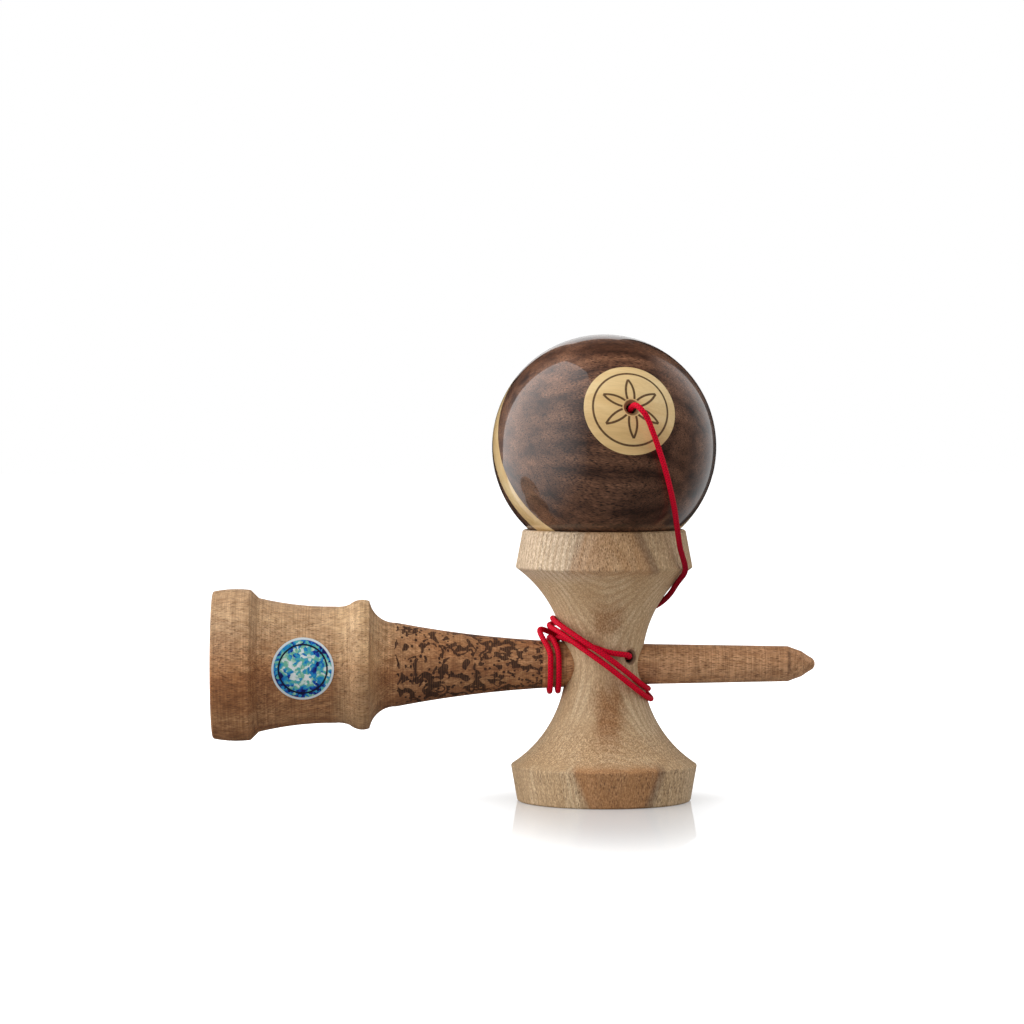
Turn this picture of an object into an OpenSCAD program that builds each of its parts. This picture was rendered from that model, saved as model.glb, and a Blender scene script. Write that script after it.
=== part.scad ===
// Wooden cup-and-ball toy standing on its large cup, with the ball resting in the small cup.
// Millimetres. The origin is the centre of the standing rim, on the floor.
// +Z is up, +X runs along the handle to the spike, and -Y is the front.

/* [Ball] */
// ball diameter
tama_d = 62; // [56:0.5:66]
// how far the string hole is turned from the front towards the spike, degrees
tama_yaw = 11.8; // [0:0.1:25]
// how far the string hole is raised above level, degrees
tama_rise = 20.8; // [15:0.1:24]
// thickness of the pale lamina round the ball's middle
band_t = 6.8; // [4:0.1:9]
// diameter of the pale inlay around the string hole
inlay_d = 25.4; // [20:0.1:28]
// depth of the inlay, from the ball's surface at the string hole
inlay_t = 5.6; // [4.6:0.1:6.4]
// diameter of the spike hole
spike_hole_d = 15; // [13:0.1:17]
// diameter of the spike hole's bevelled mouth
spike_mouth_d = 23; // [20:0.1:24]
// depth of the spike hole, from the ball's surface
spike_hole_depth = 42; // [40:0.5:43]
// diameter of the pocket for the bead at the bottom of the spike hole
bead_pocket_d = 10.6; // [10.2:0.1:11]
// depth of that pocket
bead_pocket_depth = 12; // [11.6:0.1:12.6]
// diameter of the string holes
string_hole_d = 2.8; // [2.4:0.1:3.2]
// diameter of a string hole's eased mouth
string_mouth_d = 4.6; // [4.2:0.1:5]

/* [Bead] */
// bead diameter
bead_d = 10; // [9:0.1:10]
// bead length along the string
bead_l = 7; // [6:0.1:7.2]
// diameter of the ball that the bead's rounded sides follow
bead_round_d = 11.4; // [11:0.1:13]
// diameter of the knots
knot_d = 4.4; // [4.2:0.1:4.6]

/* [Cross cup] */
// height of the cross cup
sarado_h = 75.2; // [74:0.1:77]
// height of the handle's axis above the floor
ken_z = 37.8; // [37:0.1:39]
// waist radius
waist_r = 10.6; // [10.2:0.1:11.2]
// radius of the hollow sweep between waist and ridges
flare_r = 33; // [32:0.5:34]
// outside radius of the standing rim
foot_r = 24; // [23.4:0.1:24.2]
// radius of the lower ridge
low_ridge_r = 25.8; // [25.4:0.1:26]
// radius of the upper ridge
high_ridge_r = 24.5; // [24.2:0.1:24.8]
// radius to the middle of the rounded upper lip
lip_mid_r = 21.7; // [21.4:0.1:22]
// radius of the rounded upper lip
lip_r = 1; // [0.9:0.05:1.1]
// depth of the small cup
small_cup_depth = 13.2; // [12.6:0.1:13.6]
// radius of the small cup's hollow
small_cup_r = 23.6; // [23.4:0.1:23.8]
// depth of the large cup
large_cup_depth = 13.4; // [12.6:0.1:14]
// radius of the large cup's hollow
large_cup_r = 23.5; // [23.2:0.1:23.7]

/* [Handle] */
// distance from the cross cup's axis to the base cup's rim
base_x = 108.2; // [107:0.1:110]
// distance from the cross cup's axis to the spike's tip
tip_x = 58.6; // [57.6:0.1:59.4]
// largest radius of the base cup
base_r = 21; // [20.6:0.1:21.4]
// width of the base cup's band
base_band_w = 10.5; // [9.5:0.1:11]
// radius of the band's barrel curve
barrel_r = 31.5; // [30:0.5:36]
// depth of the base cup
base_cup_depth = 9.4; // [8.6:0.1:10]
// radius of the base cup's hollow
base_cup_r = 21; // [20.4:0.1:21.6]
// least radius of the neck
neck_r = 16.1; // [15.8:0.1:16.4]
// distance from the cross cup's axis to the neck's narrowest place
neck_x = 75.4; // [74.6:0.1:76]
// radius of the neck's long curve
neck_curve_r = 85; // [80:1:90]
// distance from the cross cup's axis to the flange's crown
flange_x = 66.9; // [66.4:0.1:67.4]
// radius of the flange's crown, from the axis
flange_r = 18; // [17.9:0.05:18.2]
// radius of the flange's rounded edge
flange_edge_r = 5.2; // [5:0.05:5.4]
// distance from the flange's crown to its face
flange_lip_w = 2.05; // [1.9:0.05:2.2]
// radius of the cove between neck and flange
neck_cove_r = 8; // [7.8:0.1:8.2]
// distance from the flange's crown to the middle of that cove
neck_cove_w = 6.6; // [6.4:0.05:6.8]
// radius of the handle just beyond the flange
root_r = 11.65; // [11.4:0.05:11.9]
// radius of the handle's long taper curve
taper_curve_r = 308; // [300:1:316]
// radius of the cove beyond the flange
cove_r = 7.2; // [7:0.1:7.4]
// how far the shaft's seat reaches from the cross cup's axis towards the base
seat_in = 13; // [12.6:0.1:13.2]
// how far the shaft's seat reaches from the cross cup's axis towards the spike
seat_out = 14; // [13.6:0.1:14.4]
// shaft radius where it leaves the cross cup
spike_root_r = 5.55; // [5.3:0.05:5.7]
// shaft radius where the point begins
spike_end_r = 4.9; // [4.7:0.05:5.1]
// length of the spike's point
point_l = 7.6; // [7.2:0.1:8]
// radius of the rounded tip
tip_r = 2; // [1.8:0.1:2.2]

/* [String] */
// string diameter
string_d = 1.6; // [1.4:0.05:1.6]
// how far the anchor hole is turned from the front towards the spike, degrees
anchor_turn = 41; // [36:1:46]
// height of the anchor hole above the handle's axis
anchor_rise = 2.5; // [2.2:0.1:2.8]
// depth that the knot's pocket stops short of the middle of the handle
anchor_pocket_stop = 2; // [1.8:0.1:2.4]
// diameter of the knot's pocket
anchor_pocket_d = 5; // [4.8:0.1:5.2]
// turns of string round the handle, beside the cross cup
shaft_turns = 2; // [2:1:3]
// distance from the cross cup's axis to the first of these turns
turn_x = 12.8; // [12.75:0.05:12.9]
// distance between these turns
turn_pitch = 2.3; // [2.25:0.05:2.4]
// gap between the string and the wood that it lies on
lay_gap = 0.2; // [0.15:0.05:0.25]

/* [Sticker] */
// diameter of the round foil sticker on the neck
sticker_d = 17; // [12:0.5:19]
// sticker thickness
sticker_t = 0.16; // [0.1:0.02:0.3]
// distance from the base cup's back edge to the sticker's centre
sticker_w = 14.7; // [13.5:0.1:16]

/* [Fits] */
// gap between the resting ball and the cup's lip
seat_gap = 0.25; // [0.15:0.05:0.4]
// gap between the bead and the end of its pocket
bead_end_gap = 0.4; // [0.3:0.05:0.5]
// gap around the shaft in the cross cup's bore
taper_gap = 0.03; // [0.02:0.01:0.05]
// radius that eases the cup rims
rim_ease = 0.8; // [0.5:0.1:1]
// radius that eases the cross cup's ridges
ridge_ease = 0.6; // [0.4:0.1:0.9]
// radius that eases the base cup's back edge
band_ease = 1.2; // [0.8:0.1:1.6]
// radius that eases the flange's edge
flange_ease = 0.5; // [0.3:0.1:0.8]

/* [Hidden] */
$fn = 96;

// cutters run past the faces they cut by this much
overrun = 3;
// an easing circle sits a little closer to its sides than its radius, so that it crosses them
bite_share = 0.99;
// neighbouring curves dip under each other by this much, so that they cross
dip = 0.05;
// neighbouring lengths of the handle run into each other by this much
lap = 0.3;

// places within the base cup's band, as shares of its width
barrel_peak_share = 0.63;
step_share = 0.36;
neck_in_share = 0.07;
// the point's middle, as shares of its length and of the radius where it begins
point_mid_share = 0.5;
point_mid_r_share = 0.72;
// where the rounded tip takes over, as a share of its radius
tip_join_share = 0.38;
// the taper's slope at the cove, which sets where its long curve is centred
root_slope_share = 0.189;
// where a knot is cut flat, as a share of its radius
knot_flat_share = 0.68;

tama_r = tama_d / 2;
spike_hole_r = spike_hole_d / 2;
spike_mouth_r = spike_mouth_d / 2;
inlay_r = inlay_d / 2;
string_hole_r = string_hole_d / 2;
string_mouth_r = string_mouth_d / 2;
bead_pocket_r = bead_pocket_d / 2;
knot_r = knot_d / 2;
string_r = string_d / 2;

// heights along the ball's own axis, from its centre towards the string hole
half_band = band_t / 2;
spike_hole_top = spike_hole_depth - tama_r;
pocket_top = spike_hole_top + bead_pocket_depth;
inlay_floor = tama_r - inlay_t;
mouth_z = -sqrt(tama_r * tama_r - spike_mouth_r * spike_mouth_r);
bevel_end = mouth_z + spike_mouth_r - spike_hole_r;
bead_top = pocket_top - bead_end_gap;
bead_low = bead_top - bead_l;
string_out_z = sqrt(tama_r * tama_r - string_mouth_r * string_mouth_r);

// cross cup
flare_c = waist_r + flare_r;
low_ridge_z = ken_z - sqrt(flare_r * flare_r - pow(flare_c - low_ridge_r, 2));
high_ridge_z = ken_z + sqrt(flare_r * flare_r - pow(flare_c - high_ridge_r, 2));
lip_z = sarado_h - lip_r;
lip_out_r = lip_mid_r + lip_r * bite_share;
small_cup_z = sarado_h - small_cup_depth + small_cup_r;
large_cup_z = large_cup_depth - large_cup_r;
large_mouth_r = sqrt(large_cup_r * large_cup_r - large_cup_z * large_cup_z);
low_band_slope = (low_ridge_r - foot_r) / low_ridge_z;
high_band_slope = (high_ridge_r - lip_out_r) / (lip_z - high_ridge_z);
tama_z = lip_z + sqrt(pow(tama_r + lip_r + seat_gap, 2) - lip_mid_r * lip_mid_r);

// handle, measured along X
barrel_t = -base_x + base_band_w * barrel_peak_share;
barrel_c = base_r - barrel_r;
band_back_t = -base_x + base_band_w;
band_back_r = barrel_c + sqrt(barrel_r * barrel_r - pow(band_back_t - barrel_t, 2));
base_edge_r = barrel_c + sqrt(barrel_r * barrel_r - pow(base_x + barrel_t, 2));
base_cup_t = -base_x + base_cup_depth - base_cup_r;
base_mouth_r = sqrt(base_cup_r * base_cup_r - pow(base_x + base_cup_t, 2));
step_end_t = band_back_t + base_band_w * step_share;
step_end_r = band_back_r - base_band_w * step_share;
neck_t = -neck_x;
neck_start_t = band_back_t + base_band_w * neck_in_share;
flange_t = -flange_x;
flange_face_t = flange_t + flange_lip_w;
neck_cove_t = flange_t - neck_cove_w;
neck_end_t = flange_t - flange_lip_w;
flange_face_r = flange_r - flange_edge_r + sqrt(flange_edge_r * flange_edge_r - flange_lip_w * flange_lip_w);
cove_t = flange_face_t + cove_r - lap / 2;
taper_t = cove_t + taper_curve_r * root_slope_share;
taper_c = root_r + sqrt(taper_curve_r * taper_curve_r - pow(taper_t - cove_t, 2));
seat_start_t = -seat_in;
seat_end_t = seat_out;
point_t = tip_x - point_l;
point_mid_t = point_t + point_l * point_mid_share;
sticker_mid_t = band_back_t + sticker_w;
point_mid_r = spike_end_r * point_mid_r_share;
tip_t = tip_x - tip_r;
tip_join_t = tip_t + tip_r * tip_join_share;
tip_join_r = tip_r * sqrt(1 - tip_join_share * tip_join_share) * bite_share;

function taper_r(t) = taper_c - sqrt(taper_curve_r * taper_curve_r - pow(taper_t - t, 2));
function seat_r(t) =
    taper_r(seat_start_t)
    + (spike_root_r - taper_r(seat_start_t)) * (t - seat_start_t) / (seat_end_t - seat_start_t);
function dir(a) = [cos(a), sin(a)];

// what is cut off a corner p, whose sides leave it in directions a and b, to round it to radius r
module corner(p, a, b, r) {
    half = abs(a - b) / 2;
    mid = (a + b) / 2;
    d = r * bite_share;
    c = p + d / sin(half) * dir(mid);
    f = p + d / tan(half) * dir(a);
    g = p + d / tan(half) * dir(b);
    difference() {
        polygon([
            c,
            f + (f - c) * overrun / d,
            p - dir(mid) * overrun / sin(half),
            g + (g - c) * overrun / d
        ]);
        translate(c) circle(r);
    }
}

// the part of a ball-shaped half outline between two heights
module ball_slice(low, high) {
    intersection() {
        circle(tama_r);
        translate([0, low]) square([tama_d, high - low]);
    }
}

// places a shape made along +Z on the ball's own axis
module in_tama() {
    translate([0, 0, tama_z])
        rotate([90 - tama_rise, 0, tama_yaw])
            children();
}

// places a shape made along +Z on the anchor hole's axis, pointing out of the front
module on_anchor() {
    translate([0, 0, ken_z + anchor_rise])
        rotate([90, 0, anchor_turn])
            children();
}

// places a shape turned about +Z on the handle's axis, pointing to the spike
module on_ken() {
    translate([0, 0, ken_z])
        rotate([0, 90, 0])
            children();
}

// outline of the cross cup, as radius and height
module sarado_outline() {
    low_turn = asin((ken_z - low_ridge_z) / flare_r);
    high_turn = asin((high_ridge_z - ken_z) / flare_r);
    difference() {
        union() {
            difference() {
                polygon([
                    [0, 0],
                    [foot_r, 0],
                    [low_ridge_r + overrun * low_band_slope, low_ridge_z + overrun],
                    [high_ridge_r + overrun * high_band_slope, high_ridge_z - overrun],
                    [lip_out_r, lip_z],
                    [0, lip_z]
                ]);
                translate([flare_c, ken_z]) circle(flare_r);
            }
            translate([lip_mid_r, lip_z]) circle(lip_r);
        }
        translate([0, small_cup_z]) circle(small_cup_r);
        translate([0, large_cup_z]) circle(large_cup_r);
        corner([foot_r, 0], 180, 90 - atan(low_band_slope), rim_ease);
        corner([large_mouth_r, 0], 0, 90 + acos(large_mouth_r / large_cup_r), rim_ease);
        corner([low_ridge_r, low_ridge_z], 270 - atan(low_band_slope), 180 - (90 - low_turn), ridge_ease);
        corner([high_ridge_r, high_ridge_z], 90 + atan(high_band_slope), 180 + (90 - high_turn), ridge_ease);
    }
}

// outline of the handle, as radius and distance along X
module base_outline() {
    back_turn = asin((band_back_t - barrel_t) / barrel_r);
    front_turn = asin((base_x + barrel_t) / barrel_r);
    difference() {
        intersection() {
            polygon([
                [0, -base_x],
                [base_r + overrun, -base_x],
                [base_r + overrun, band_back_t - (base_r + overrun - band_back_r)],
                [step_end_r, step_end_t],
                [0, step_end_t]
            ]);
            translate([barrel_c, barrel_t]) circle(barrel_r);
        }
        translate([0, base_cup_t]) circle(base_cup_r);
        corner([base_edge_r, -base_x], 180, 90 - front_turn, rim_ease);
        corner([base_mouth_r, -base_x], 0, 90 + acos(base_mouth_r / base_cup_r), rim_ease);
        corner([band_back_r, band_back_t], 270 + back_turn, 135, band_ease);
    }
}

module neck_outline() {
    difference() {
        translate([0, neck_start_t]) square([base_r, neck_end_t - neck_start_t]);
        intersection() {
            translate([neck_r + neck_curve_r, neck_t]) circle(neck_curve_r);
            translate([0, -base_x]) square([base_x, base_x + neck_cove_t]);
        }
        translate([neck_r + neck_cove_r - dip, neck_cove_t]) circle(neck_cove_r);
    }
}

module flange_outline() {
    edge_slope = asin(flange_lip_w / flange_edge_r);
    difference() {
        union() {
            intersection() {
                translate([flange_r - flange_edge_r, flange_t]) circle(flange_edge_r);
                translate([flange_r / 2, -base_x]) square([flange_r, base_x + flange_face_t]);
            }
            translate([0, neck_cove_t]) square([flange_r - flange_edge_r, flange_face_t - neck_cove_t]);
        }
        corner([flange_face_r, flange_face_t], 180, 270 + edge_slope, flange_ease);
    }
}

module taper_outline() {
    difference() {
        translate([0, flange_face_t - lap])
            square([flange_r - flange_ease * 2, seat_start_t - flange_face_t + lap]);
        translate([root_r + cove_r - dip, cove_t]) circle(cove_r);
        intersection() {
            translate([taper_c, taper_t]) circle(taper_curve_r);
            translate([0, cove_t]) square([base_x, -cove_t]);
        }
    }
}

module shaft_outline() {
    polygon([
        [0, seat_start_t],
        [taper_r(seat_start_t), seat_start_t],
        [spike_root_r, seat_end_t],
        [spike_end_r, point_t],
        [point_mid_r, point_mid_t],
        [tip_join_r, tip_join_t],
        [0, tip_join_t]
    ]);
    intersection() {
        translate([0, tip_t]) circle(tip_r);
        translate([0, tip_t]) square([tip_r + overrun, tip_r + overrun]);
    }
}

module ken() {
    color([0.45, 0.31, 0.2])
    difference() {
        on_ken() rotate_extrude() {
            base_outline();
            neck_outline();
            flange_outline();
            taper_outline();
            shaft_outline();
        }
        on_anchor() translate([0, 0, -base_r]) cylinder(r = string_hole_r, h = base_r * 2);
        on_anchor() translate([0, 0, -base_r])
            cylinder(d = anchor_pocket_d, h = base_r - anchor_pocket_stop);
    }
}

module sarado() {
    color([0.72, 0.58, 0.42])
    difference() {
        rotate_extrude() sarado_outline();
        on_ken() translate([0, 0, seat_start_t])
            cylinder(r1 = seat_r(seat_start_t) + taper_gap, r2 = seat_r(seat_end_t) + taper_gap,
                     h = seat_end_t - seat_start_t);
        on_anchor() cylinder(r = string_hole_r, h = base_r);
        on_anchor() translate([0, 0, waist_r - (string_mouth_r - string_hole_r)])
            cylinder(r1 = string_hole_r, r2 = string_mouth_r + overrun,
                     h = string_mouth_r - string_hole_r + overrun);
    }
}

module tama_front_cap() {
    color([0.2, 0.12, 0.08])
    in_tama() rotate_extrude() difference() {
        ball_slice(half_band, tama_r);
        square([spike_hole_r, spike_hole_top]);
        square([bead_pocket_r, pocket_top]);
        square([string_hole_r, tama_r]);
        translate([0, inlay_floor]) square([inlay_r, tama_r]);
    }
}

module tama_band() {
    color([0.82, 0.66, 0.42])
    in_tama() rotate_extrude() difference() {
        ball_slice(-half_band, half_band);
        translate([0, -tama_r]) square([spike_hole_r, tama_d]);
    }
}

module tama_rear_cap() {
    color([0.2, 0.12, 0.08])
    in_tama() rotate_extrude() difference() {
        ball_slice(-tama_r, -half_band);
        translate([0, -tama_d]) square([spike_hole_r, tama_d]);
        polygon([
            [0, mouth_z - overrun],
            [spike_mouth_r + overrun, mouth_z - overrun],
            [spike_hole_r, bevel_end],
            [0, bevel_end]
        ]);
    }
}

module tama_inlay() {
    color([0.86, 0.72, 0.5])
    in_tama() rotate_extrude() difference() {
        intersection() {
            circle(tama_r);
            translate([string_hole_r, inlay_floor]) square([inlay_r - string_hole_r, tama_r]);
        }
        polygon([
            [0, string_out_z - (string_mouth_r - string_hole_r)],
            [string_hole_r, string_out_z - (string_mouth_r - string_hole_r)],
            [string_mouth_r + overrun, string_out_z + overrun],
            [0, string_out_z + overrun]
        ]);
    }
}

module bead() {
    color([0.75, 0.1, 0.12])
    in_tama() rotate_extrude() difference() {
        intersection() {
            translate([0, bead_low]) square([bead_d / 2, bead_l]);
            translate([0, (bead_low + bead_top) / 2]) circle(d = bead_round_d);
        }
        translate([0, bead_low - overrun]) square([string_hole_r, bead_l + overrun * 2]);
    }
}

// a tied knot, drawn as a ball with a flat where the string comes out of it
module knot() {
    flat = knot_r * knot_flat_share;
    translate([0, 0, -flat])
        rotate_extrude() intersection() {
            circle(knot_r);
            translate([0, -knot_r]) square([knot_r, knot_r + flat]);
        }
}

module bead_knot() {
    color([0.7, 0.05, 0.12])
    in_tama() translate([0, 0, bead_low]) knot();
}

module anchor_knot() {
    color([0.7, 0.05, 0.12])
    on_anchor() translate([0, 0, -anchor_pocket_stop]) knot();
}

module foil_sticker() {
    color([0.6, 0.75, 0.85])
    intersection() {
        on_ken() rotate_extrude() intersection() {
            difference() {
                translate([neck_r + neck_curve_r, neck_t]) circle(neck_curve_r);
                translate([neck_r + neck_curve_r, neck_t]) circle(neck_curve_r - sticker_t);
            }
            translate([0, sticker_mid_t - sticker_d]) square([base_r * 2, sticker_d * 2]);
        }
        translate([sticker_mid_t, 0, ken_z]) rotate([90, 0, 0]) cylinder(d = sticker_d, h = base_r * 2);
    }
}

// String. Each run is a tube along a smooth curve through the points of its route.
tama_ax = [sin(tama_yaw) * cos(tama_rise), -cos(tama_yaw) * cos(tama_rise), sin(tama_rise)];
tama_mid = [0, 0, tama_z];
anchor_ax = [sin(anchor_turn), -cos(anchor_turn), 0];
anchor_mid = [0, 0, ken_z + anchor_rise];

// The winding is given in degrees of turn and in heights above the handle's axis.
// Round the waist, 0 is the base's side, 90 the back, 180 the spike's side and 270 the front.
// degrees between two route points of a turn
turn_step = 30;
// the straight run out of the anchor hole, as shares of the pocket's stop
anchor_run_shares = [-1, 1, 3, 4.75];
// from the anchor hole up across the front: turn and height
cross_run = [[240, 3.2], [265, 4], [290, 5.6], [315, 6.7], [341, 7.8]];
// where the turns round the handle begin
shaft_start = 2;
// where each turn steps over to the next one, and the degrees that this takes
turn_over = [285, 90];
// how the string climbs from them on to the waist: turn, distance back and height over the wood
shaft_leave = [63, -2.1, 2.1];
// heights of the slanting turns at the base's side and at the spike's side in turn
slant_lifts = [7.1, -6.8, 12.8, -9.6, 10.6, 15];
// first and last turn of the slanting run
slant_from = 60;
slant_to = 780;
// where the string rides over a turn below it, and how high
hops = [[287, 2.25], [467, 2.15], [649, 2.25], [747, 2.2]];
// degrees that each ride takes to rise and to fall
hop_spread = 80;

function shaft_r(x) = x > seat_in ? taper_r(-x) : seat_r(-x);
function on_shaft(turn, x, over) =
    let (q = shaft_r(x) + string_r + lay_gap + over) [-x, q * sin(turn), ken_z + q * cos(turn)];
function on_waist(turn, lift, over) =
    let (q = flare_c - sqrt(flare_r * flare_r - lift * lift) + string_r + lay_gap + over)
    [-q * cos(turn), q * sin(turn), ken_z + lift];
function slant_lift(turn) =
    let (i = floor(turn / 180), e = (1 - cos(turn - i * 180)) / 2)
    slant_lifts[i] * (1 - e) + slant_lifts[i + 1] * e;
function turns_over(turn) =
    let (d = max(turn - turn_over[0], 0), n = floor(d / 360), q = min((d - n * 360) / turn_over[1], 1))
    n + q * q * (3 - 2 * q);
function total(v) = v * [for (x = v) 1];
function ride(turn) = total([for (h = hops)
    abs(turn - h[0]) < hop_spread ? h[1] * pow(cos(90 * (turn - h[0]) / hop_spread), 2) : 0]);

shaft_points = floor(shaft_turns * 360 / turn_step) - 1;
last_turn = shaft_start + turn_step * (shaft_points - 1);
last_x = turn_x + turn_pitch * turns_over(last_turn);

// where the winding ends behind the waist and the lead to the ball begins
lead_start = on_waist(90, slant_lift(slant_to + turn_step), 0);
lead_way = [string_d, 0, 0];

winding_route = concat(
    [for (q = anchor_run_shares) anchor_mid + anchor_ax * anchor_pocket_stop * q],
    [for (c = cross_run) on_waist(c[0], c[1], 0)],
    [for (turn = [shaft_start : turn_step : last_turn])
        on_shaft(turn, turn_x + turn_pitch * turns_over(turn), 0)],
    [on_shaft(last_turn + shaft_leave[0], last_x - shaft_leave[1], shaft_leave[2])],
    [for (turn = [slant_from : turn_step : slant_to]) on_waist(turn, slant_lift(turn), ride(turn))],
    [lead_start - lead_way * 2, lead_start - lead_way, lead_start]
);

// the lead's own points
lead_points = [
    // behind the waist to the right and up to the ridge
    [7.6, 12.9, 50.6], [11.8, 9.9, 52.1], [15.3, 5, 54], [18, -0.8, 57], [19.7, -7.4, 60.6],
    [21.3, -12.8, 63.6], [21.3, -14.9, 65.9],
    // up the front of the ball
    [19.9, -16.4, 70.6], [18.9, -18.8, 76], [17.9, -21.8, 81.6], [16.4, -25.6, 87.4], [14.6, -28.4, 93.4],
    [12.9, -30, 98.4], [11.4, -31.4, 102.4], [9.8, -32.5, 106.2], [8.6, -32.7, 108], [7.1, -31.4, 109.5]
];

lead_route = concat(
    [lead_start, lead_start + lead_way, lead_start + lead_way * 2],
    lead_points,
    // into the ball and down to the knot under the bead
    [tama_mid + tama_ax * (tama_r + string_r), tama_mid + tama_ax * (inlay_floor + pocket_top) / 2],
    [tama_mid + tama_ax * (bead_top + bead_end_gap), tama_mid + tama_ax * bead_low]
);

// steps between two route points
winding_steps = 2;
lead_steps = 3;
// sides of the tubes
winding_sides = 6;
lead_sides = 8;

function curve_at(a, b, c, d, t) =
    (b * 2 + (c - a) * t + (a * 2 - b * 5 + c * 4 - d) * t * t + (b * 3 - a - c * 3 + d) * t * t * t) / 2;
function route_at(p, i) =
    i < 0 ? p[0] * 2 - p[1] : i > len(p) - 1 ? p[len(p) - 1] * 2 - p[len(p) - 2] : p[i];
function smooth_route(p, steps) = concat(
    [for (i = [0 : len(p) - 2], j = [0 : steps - 1])
        curve_at(route_at(p, i - 1), p[i], p[i + 1], route_at(p, i + 2), j / steps)],
    [p[len(p) - 1]]
);
function unit(v) = v / norm(v);
function tangent(p, i) = unit(p[min(i + 1, len(p) - 1)] - p[max(i - 1, 0)]);
// carries a side vector along the curve without twisting it
function carry(p, i, s) = unit(s - tangent(p, i) * (tangent(p, i) * s));
function side_vectors(p) =
    [for (i = 0, s = carry(p, 0, [0, 0, 1]);
        i < len(p);
        i = i + 1, s = i < len(p) ? carry(p, i, s) : s) s];

module tube(p, sides) {
    n = len(p);
    sv = side_vectors(p);
    points = [for (i = [0 : n - 1], j = [0 : sides - 1])
        let (a = 360 * j / sides)
        p[i] + (sv[i] * cos(a) + cross(tangent(p, i), sv[i]) * sin(a)) * string_r];
    walls = [for (i = [0 : n - 2], j = [0 : sides - 1], h = [0, 1])
        let (a = i * sides + j, b = i * sides + (j + 1) % sides, c = a + sides, d = b + sides)
        h == 0 ? [a, b, d] : [a, d, c]];
    start = [for (j = [1 : sides - 2]) [0, j + 1, j]];
    last = (n - 1) * sides;
    end = [for (j = [1 : sides - 2]) [last, last + j, last + j + 1]];
    faces = [for (f = concat(walls, start, end)) [f[2], f[1], f[0]]];
    polyhedron(points, faces);
}

winding_path = smooth_route(winding_route, winding_steps);
lead_path = smooth_route(lead_route, lead_steps);

// least gap between turns of the winding, taken between points more than a third of a turn apart
apart = winding_steps * 120 / turn_step;
turn_gaps = [for (i = [0 : len(winding_path) - 1], j = [i + apart : 1 : len(winding_path) - 1])
    norm(winding_path[i] - winding_path[j]) - string_d];
echo(least_gap_between_turns = min(turn_gaps));

module string_winding() {
    color([0.7, 0.05, 0.12]) tube(winding_path, winding_sides);
}

module string_lead() {
    color([0.7, 0.05, 0.12]) tube(lead_path, lead_sides);
}

ken();
sarado();
tama_front_cap();
tama_band();
tama_rear_cap();
tama_inlay();
bead();
bead_knot();
string_lead();
string_winding();
anchor_knot();
foil_sticker();
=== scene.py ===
import math

import bmesh
import bpy
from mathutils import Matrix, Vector


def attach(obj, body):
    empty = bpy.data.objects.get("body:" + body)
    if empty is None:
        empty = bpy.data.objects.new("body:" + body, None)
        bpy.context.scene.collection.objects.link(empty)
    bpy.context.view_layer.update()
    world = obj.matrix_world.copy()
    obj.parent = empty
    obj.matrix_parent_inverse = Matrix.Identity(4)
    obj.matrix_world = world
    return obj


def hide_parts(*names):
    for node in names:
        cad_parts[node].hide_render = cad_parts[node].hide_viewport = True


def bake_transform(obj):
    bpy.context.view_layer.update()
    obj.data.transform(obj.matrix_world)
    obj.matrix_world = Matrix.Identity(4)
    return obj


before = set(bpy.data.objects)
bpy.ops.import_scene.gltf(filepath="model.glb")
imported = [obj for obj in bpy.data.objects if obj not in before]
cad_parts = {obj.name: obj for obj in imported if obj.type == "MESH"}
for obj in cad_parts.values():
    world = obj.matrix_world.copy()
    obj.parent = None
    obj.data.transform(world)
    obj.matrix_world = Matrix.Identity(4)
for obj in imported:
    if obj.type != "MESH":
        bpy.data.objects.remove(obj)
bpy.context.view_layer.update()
MM = 0.001

# Sizes that the solids have too, in millimetres and degrees.
KEN_Z = 37.8
BASE_X, BASE_BAND_W, STICKER_W = 108.2, 10.5, 14.7
FLANGE_X, FLANGE_LIP_W, COVE_R, LAP = 66.9, 2.05, 7.2, 0.3
ROOT_R, TAPER_CURVE_R, ROOT_SLOPE_SHARE = 11.65, 308, 0.189
SEAT_IN, SEAT_OUT, SPIKE_ROOT_R = 13, 14, 5.55
WAIST_R, FLARE_R = 10.6, 33.0
TAMA_R, TAMA_Z = 31.0, 98.0573
TAMA_YAW, TAMA_RISE = 11.8, 20.8
STRING_R, LAY_GAP = 0.8, 0.2
ANCHOR_TURN, ANCHOR_RISE, ANCHOR_STOP = 41.0, 2.5, 2.0
STRING_HOLE_R, STRING_MOUTH_R = 1.4, 2.3
BEAD_LOW, BEAD_TOP, BEAD_GAP = 15.6, 22.6, 0.4
INLAY_FLOOR, POCKET_TOP = 25.4, 23.0


def turn(a):
    """Cosine and sine of an angle in degrees."""
    return math.cos(math.radians(a)), math.sin(math.radians(a))


TAMA_AXIS = Vector((turn(TAMA_YAW)[1] * turn(TAMA_RISE)[0],
                    -turn(TAMA_YAW)[0] * turn(TAMA_RISE)[0],
                    turn(TAMA_RISE)[1]))
TAMA_MID = Vector((0, 0, TAMA_Z))
ANCHOR_AXIS = Vector((turn(ANCHOR_TURN)[1], -turn(ANCHOR_TURN)[0], 0))
ANCHOR_MID = Vector((0, 0, KEN_Z + ANCHOR_RISE))
COVE_X = -FLANGE_X + FLANGE_LIP_W + COVE_R - LAP / 2
TAPER_X = COVE_X + TAPER_CURVE_R * ROOT_SLOPE_SHARE
TAPER_C = ROOT_R + math.sqrt(TAPER_CURVE_R ** 2 - (TAPER_X - COVE_X) ** 2)


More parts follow.
